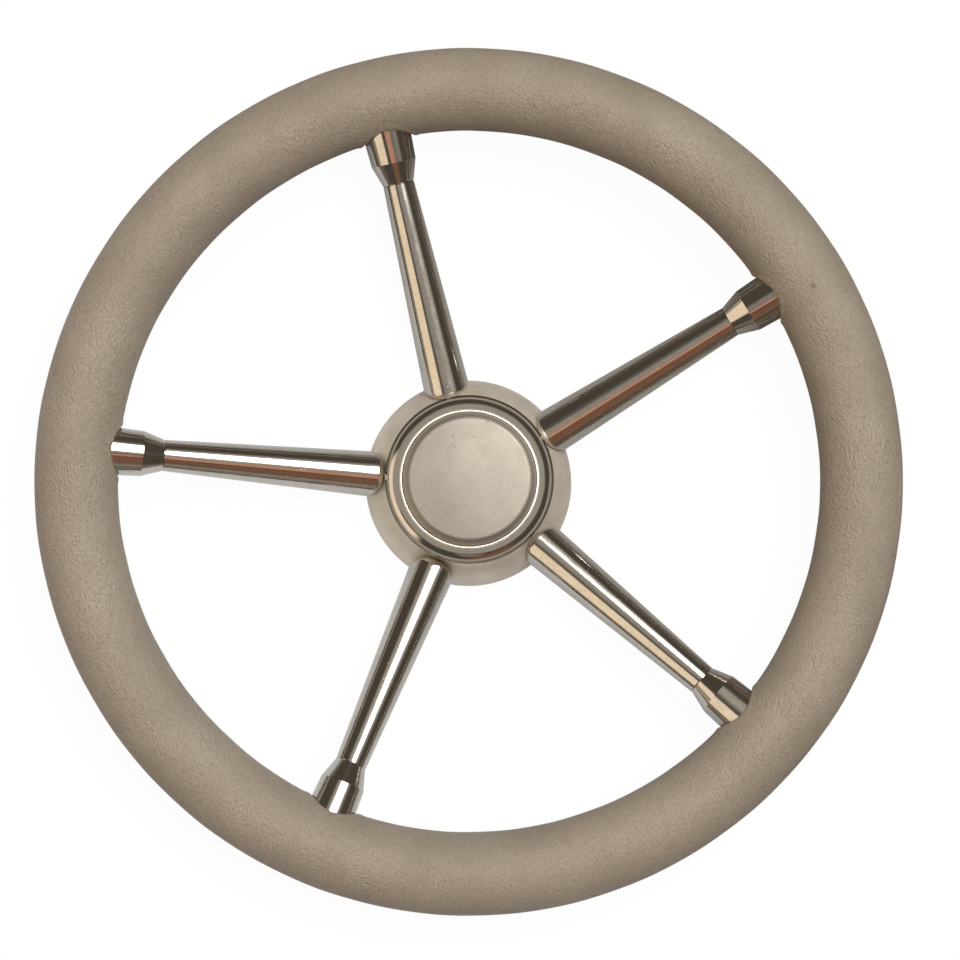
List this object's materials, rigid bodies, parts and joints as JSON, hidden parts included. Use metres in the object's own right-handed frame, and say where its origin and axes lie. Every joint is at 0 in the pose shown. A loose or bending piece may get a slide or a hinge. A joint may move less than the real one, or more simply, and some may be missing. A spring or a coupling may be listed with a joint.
{
  "type": "boat steering wheel",
  "caption": "Boat steering wheel: padded ring grip on a steel hoop, tapered polished tube spokes with flared ferrules, domed hub with a tapered shaft hole and a pull-off cap.",
  "frame": {"origin": "centre of the hub's back face, where the wheel meets the helm", "axes": "+Z along the shaft axis towards the helm's user, +Y along the first spoke and the keyway, +X to the right as the user sees it"},
  "size_m": [0.35, 0.35, 0.0487],
  "materials": {
    "grip_foam": "warm taupe self-skinned foam with a fine leather grain",
    "hoop_steel": "plain drawn tube, under the foam",
    "polished_spoke": "mirror-polished stainless tube with fine pits",
    "polished_ferrule": "mirror-polished stainless, turned",
    "polished_bezel": "mirror-polished ring",
    "satin_metal": "satin, fine blasted",
    "brushed_cap": "satin with fine concentric turning marks",
    "turned_steel": "turned",
    "screw_steel": "plain stainless fasteners",
    "seal_rubber": "black rubber"
  },
  "bodies": {
    "wheel": {"grip": "grip_foam", "rim_hoop": "hoop_steel", "hub_bell": "satin_metal", "shaft_boss": "turned_steel", "boss_screws": "screw_steel", "spoke_screws": "screw_steel", "bezel_ring": "polished_bezel", "spoke_1": "polished_spoke", "spoke_plug_1": "turned_steel", "ferrule_1": "polished_ferrule", "spoke_2": "polished_spoke", "spoke_plug_2": "turned_steel", "ferrule_2": "polished_ferrule", "spoke_3": "polished_spoke", "spoke_plug_3": "turned_steel", "ferrule_3": "polished_ferrule", "spoke_4": "polished_spoke", "spoke_plug_4": "turned_steel", "ferrule_4": "polished_ferrule", "spoke_5": "polished_spoke", "spoke_plug_5": "turned_steel", "ferrule_5": "polished_ferrule"},
    "cap": {"centre_cap": "brushed_cap", "cap_o_ring": "seal_rubber"}
  },
  "joints": [
    {"name": "cap_pull", "type": "slide", "parent": "wheel", "child": "cap", "axis": [0, 0, 1], "range_m": [0, 0.03]}
  ]
}
